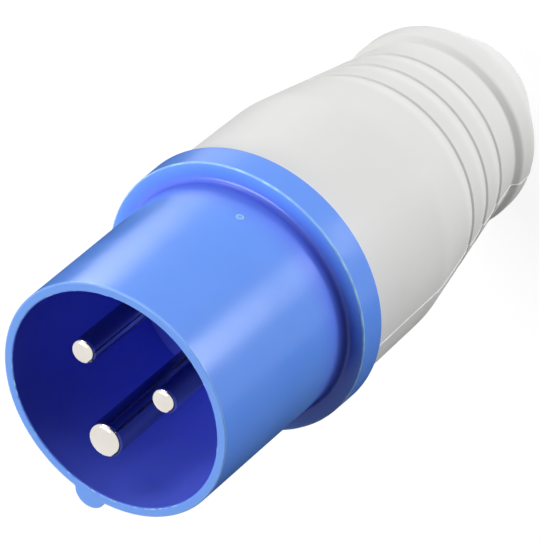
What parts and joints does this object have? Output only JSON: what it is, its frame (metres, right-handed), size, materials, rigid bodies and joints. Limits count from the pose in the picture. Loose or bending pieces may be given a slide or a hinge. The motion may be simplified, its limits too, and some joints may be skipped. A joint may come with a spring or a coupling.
{
  "type": "pin and sleeve plug",
  "caption": "Industrial pin and sleeve plug: keyed blue sleeve and collar around nickel-plated pins, with a pale grey tapered rear housing, stepped grip rings and a cable entry.",
  "frame": {"origin": "centre of the flat cable end, on the plug's axis, where the plug stands", "axes": "+Z along the axis from the cable end to the open mouth; the earth pin and the key lie towards -Y"},
  "size_m": [0.0566, 0.0566, 0.133],
  "materials": {
    "blue_plastic": "satin moulded polyamide",
    "grey_plastic": "fine matte moulded polyamide",
    "nickel_plated_brass": "bright nickel plating",
    "steel_screw": "zinc plated",
    "inner_plastic": "plain moulded",
    "rubber_seal": "soft matte"
  },
  "bodies": {
    "root": {"sleeve": "blue_plastic", "contact_insert": "blue_plastic", "earth_pin": "nickel_plated_brass", "line_pin": "nickel_plated_brass", "neutral_pin": "nickel_plated_brass", "terminal_screws": "steel_screw", "pin_retainer": "inner_plastic", "retainer_screws": "steel_screw", "clamp_bar": "inner_plastic", "clamp_screws": "steel_screw", "sleeve_seal": "rubber_seal", "rear_housing": "grey_plastic", "cable_grommet": "rubber_seal"}
  },
  "joints": []
}
